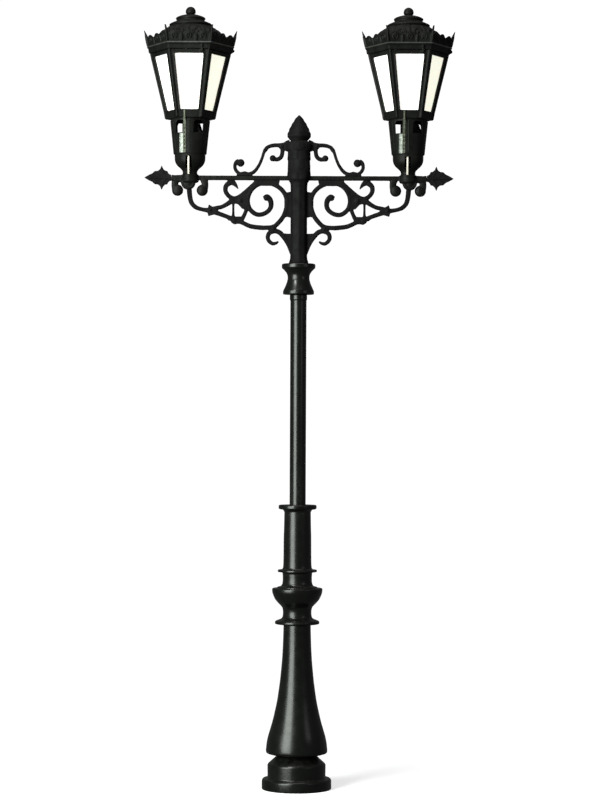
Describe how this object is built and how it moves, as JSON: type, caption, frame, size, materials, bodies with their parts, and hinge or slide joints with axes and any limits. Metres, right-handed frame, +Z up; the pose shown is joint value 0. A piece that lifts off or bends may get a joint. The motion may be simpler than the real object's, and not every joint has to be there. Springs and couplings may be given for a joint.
{
  "type": "street lamp post",
  "caption": "Cast-iron street lamp post: bell base with service door, slender shaft, scrolled cross arms and hexagonal opal lanterns with hinged canopies.",
  "frame": {"origin": "centre of the plinth's underside, on the ground", "axes": "+Z up the post, +X along the arms towards the right lantern, front towards -Y, service door at the rear (+Y)"},
  "size_m": [2.0936, 0.5494, 5.229],
  "materials": {
    "black_paint": "black satin paint on smooth castings",
    "black_paint_steel": "black satin paint on steel tube",
    "rough_black_iron": "matt black paint on rough-cast ornament",
    "opal_glass": "white opal, lightly glossy",
    "galvanised": "dull galvanised steel",
    "steel": "bare steel",
    "cream_cable": "cream cable sheath",
    "lamp_glass": "frosted lamp envelope",
    "board": "grey backboard",
    "housing": "black moulded housing"
  },
  "bodies": {
    "post": {"base_bell": "black_paint", "base_plinth": "black_paint", "bowl_collar": "black_paint", "capital": "black_paint", "column_cable": "cream_cable", "cutout_box": "housing", "door_hinge_pin": "steel", "fuse_board": "board", "head_post": "rough_black_iron", "lower_sleeve": "black_paint", "shaft_tube": "black_paint_steel", "sleeve_flange": "black_paint", "spear_finial": "rough_black_iron", "left_arm_bar": "black_paint", "left_scroll_panel": "rough_black_iron", "left_crest_scroll": "rough_black_iron", "left_end_finial": "rough_black_iron", "left_socket": "rough_black_iron", "left_gear_channel": "galvanised", "left_lantern_cable": "cream_cable", "left_lantern_frame": "rough_black_iron", "left_pane_1": "opal_glass", "left_pane_2": "opal_glass", "left_pane_3": "opal_glass", "left_pane_4": "opal_glass", "left_pane_5": "opal_glass", "left_pane_6": "opal_glass", "left_lamp_plate": "housing", "left_lamp": "lamp_glass", "left_canopy_hinge_pin": "steel", "right_arm_bar": "black_paint", "right_scroll_panel": "rough_black_iron", "right_crest_scroll": "rough_black_iron", "right_end_finial": "rough_black_iron", "right_socket": "rough_black_iron", "right_gear_channel": "galvanised", "right_lantern_cable": "cream_cable", "right_lantern_frame": "rough_black_iron", "right_pane_1": "opal_glass", "right_pane_2": "opal_glass", "right_pane_3": "opal_glass", "right_pane_4": "opal_glass", "right_pane_5": "opal_glass", "right_pane_6": "opal_glass", "right_lamp_plate": "housing", "right_lamp": "lamp_glass", "right_canopy_hinge_pin": "steel"},
    "service_door": {"service_door": "black_paint"},
    "door_lock": {"door_lock": "steel"},
    "left_canopy": {"left_gallery": "rough_black_iron", "left_dome": "rough_black_iron", "left_vent_cowl": "black_paint", "left_ball_finial": "black_paint"},
    "left_latch": {"left_latch": "black_paint"},
    "right_canopy": {"right_gallery": "rough_black_iron", "right_dome": "rough_black_iron", "right_vent_cowl": "black_paint", "right_ball_finial": "black_paint"},
    "right_latch": {"right_latch": "black_paint"}
  },
  "joints": [
    {"name": "service_door_hinge", "type": "hinge", "parent": "post", "child": "service_door", "pos_m": [0.083, 0.15541, 0.5609], "axis": [0, 0.1994, -0.9799], "range_deg": [0, 110]},
    {"name": "door_lock_turn", "type": "hinge", "parent": "service_door", "child": "door_lock", "pos_m": [-0.064, 0.15913, 0.56166], "axis": [0, 0.9799, 0.1994], "range_deg": [0, 90]},
    {"name": "left_canopy_hinge", "type": "hinge", "parent": "post", "child": "left_canopy", "pos_m": [-0.73, 0.253, 4.914], "axis": [-1, 0, 0], "range_deg": [0, 75]},
    {"name": "left_latch_turn", "type": "hinge", "parent": "left_canopy", "child": "left_latch", "pos_m": [-0.645, -0.2502, 4.934], "axis": [0, -1, 0], "range_deg": [0, 90]},
    {"name": "right_canopy_hinge", "type": "hinge", "parent": "post", "child": "right_canopy", "pos_m": [0.73, 0.253, 4.914], "axis": [-1, 0, 0], "range_deg": [0, 75]},
    {"name": "right_latch_turn", "type": "hinge", "parent": "right_canopy", "child": "right_latch", "pos_m": [0.815, -0.2502, 4.934], "axis": [0, -1, 0], "range_deg": [0, 90]}
  ]
}
